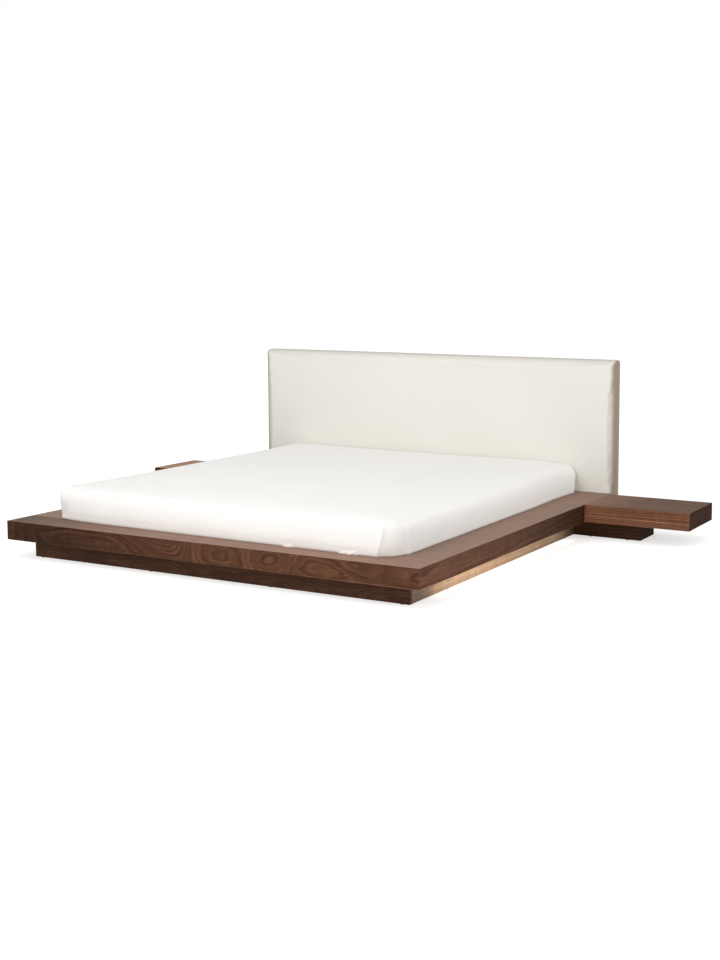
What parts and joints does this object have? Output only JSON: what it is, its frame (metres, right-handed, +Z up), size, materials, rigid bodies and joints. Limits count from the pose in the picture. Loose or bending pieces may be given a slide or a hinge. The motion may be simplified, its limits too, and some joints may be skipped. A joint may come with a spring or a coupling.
{
  "type": "platform bed",
  "caption": "Low platform bed with a set-back plinth, a flush nightstand slab on each side, an upholstered headboard, sprung slats and a loose mattress.",
  "frame": {"origin": "on the floor under the middle of the bed's overall width and depth", "axes": "+X to the right of someone who looks at the bed from its foot, +Y from the foot to the headboard, +Z up"},
  "size_m": [3.432, 2.252, 0.914],
  "materials": {
    "walnut_veneer": "open-grained walnut veneer, satin lacquer",
    "plinth_veneer": "darker walnut veneer, satin lacquer",
    "pine": "planed softwood, unfinished",
    "birch": "laminated birch, smooth",
    "black_plastic": "moulded black plastic",
    "zinc_steel": "zinc-plated steel",
    "mattress_fabric": "white knitted cotton cover",
    "mattress_foam": "open-cell foam",
    "headboard_foam": "open-cell foam",
    "headboard_fabric": "ivory woven upholstery fabric",
    "back_cloth": "thin non-woven dust cloth"
  },
  "bodies": {
    "bed": {"foot_rail": "walnut_veneer", "foot_rail_inner_board": "pine", "side_rail_left": "walnut_veneer", "side_rail_right": "walnut_veneer", "side_rail_inner_board_left": "pine", "side_rail_inner_board_right": "pine", "side_rail_blocks": "pine", "head_rail": "walnut_veneer", "plinth_foot_board": "plinth_veneer", "plinth_head_board": "plinth_veneer", "plinth_side_left": "plinth_veneer", "plinth_side_right": "plinth_veneer", "plinth_cross_front": "pine", "plinth_cross_rear": "pine", "plinth_corner_blocks": "pine", "floor_glides": "black_plastic", "nightstand_left": "walnut_veneer", "nightstand_right": "walnut_veneer", "nightstand_inner_board_left": "pine", "nightstand_inner_board_right": "pine", "nightstand_base_left": "plinth_veneer", "nightstand_base_right": "plinth_veneer", "slat_ledge_left": "pine", "slat_ledge_right": "pine", "centre_beam": "pine", "centre_leg_front": "zinc_steel", "centre_leg_middle": "zinc_steel", "centre_leg_rear": "zinc_steel", "centre_leg_feet": "black_plastic", "beam_hangers": "zinc_steel", "slat_side_holders": "black_plastic", "slat_centre_holders": "black_plastic", "slat_row_01": "birch", "slat_row_02": "birch", "slat_row_03": "birch", "slat_row_04": "birch", "slat_row_05": "birch", "slat_row_06": "birch", "slat_row_07": "birch", "slat_row_08": "birch", "slat_row_09": "birch", "slat_row_10": "birch", "slat_row_11": "birch", "slat_row_12": "birch", "joining_plates": "zinc_steel", "plate_screws": "zinc_steel", "dowels": "birch", "headboard_top_rail": "pine", "headboard_bottom_rail": "pine", "headboard_stiles": "pine", "headboard_legs": "pine", "headboard_panel": "birch", "headboard_foam": "headboard_foam", "headboard_cover": "headboard_fabric", "headboard_back_cloth": "back_cloth", "headboard_brackets": "zinc_steel", "headboard_bolts": "zinc_steel"},
    "mattress": {"mattress_cover": "mattress_fabric", "mattress_comfort_foam": "mattress_foam", "mattress_core": "mattress_foam"}
  },
  "joints": [
    {"name": "mattress_lift", "type": "slide", "parent": "bed", "child": "mattress", "axis": [0, 0, 1], "range_m": [0, 0.35]}
  ]
}
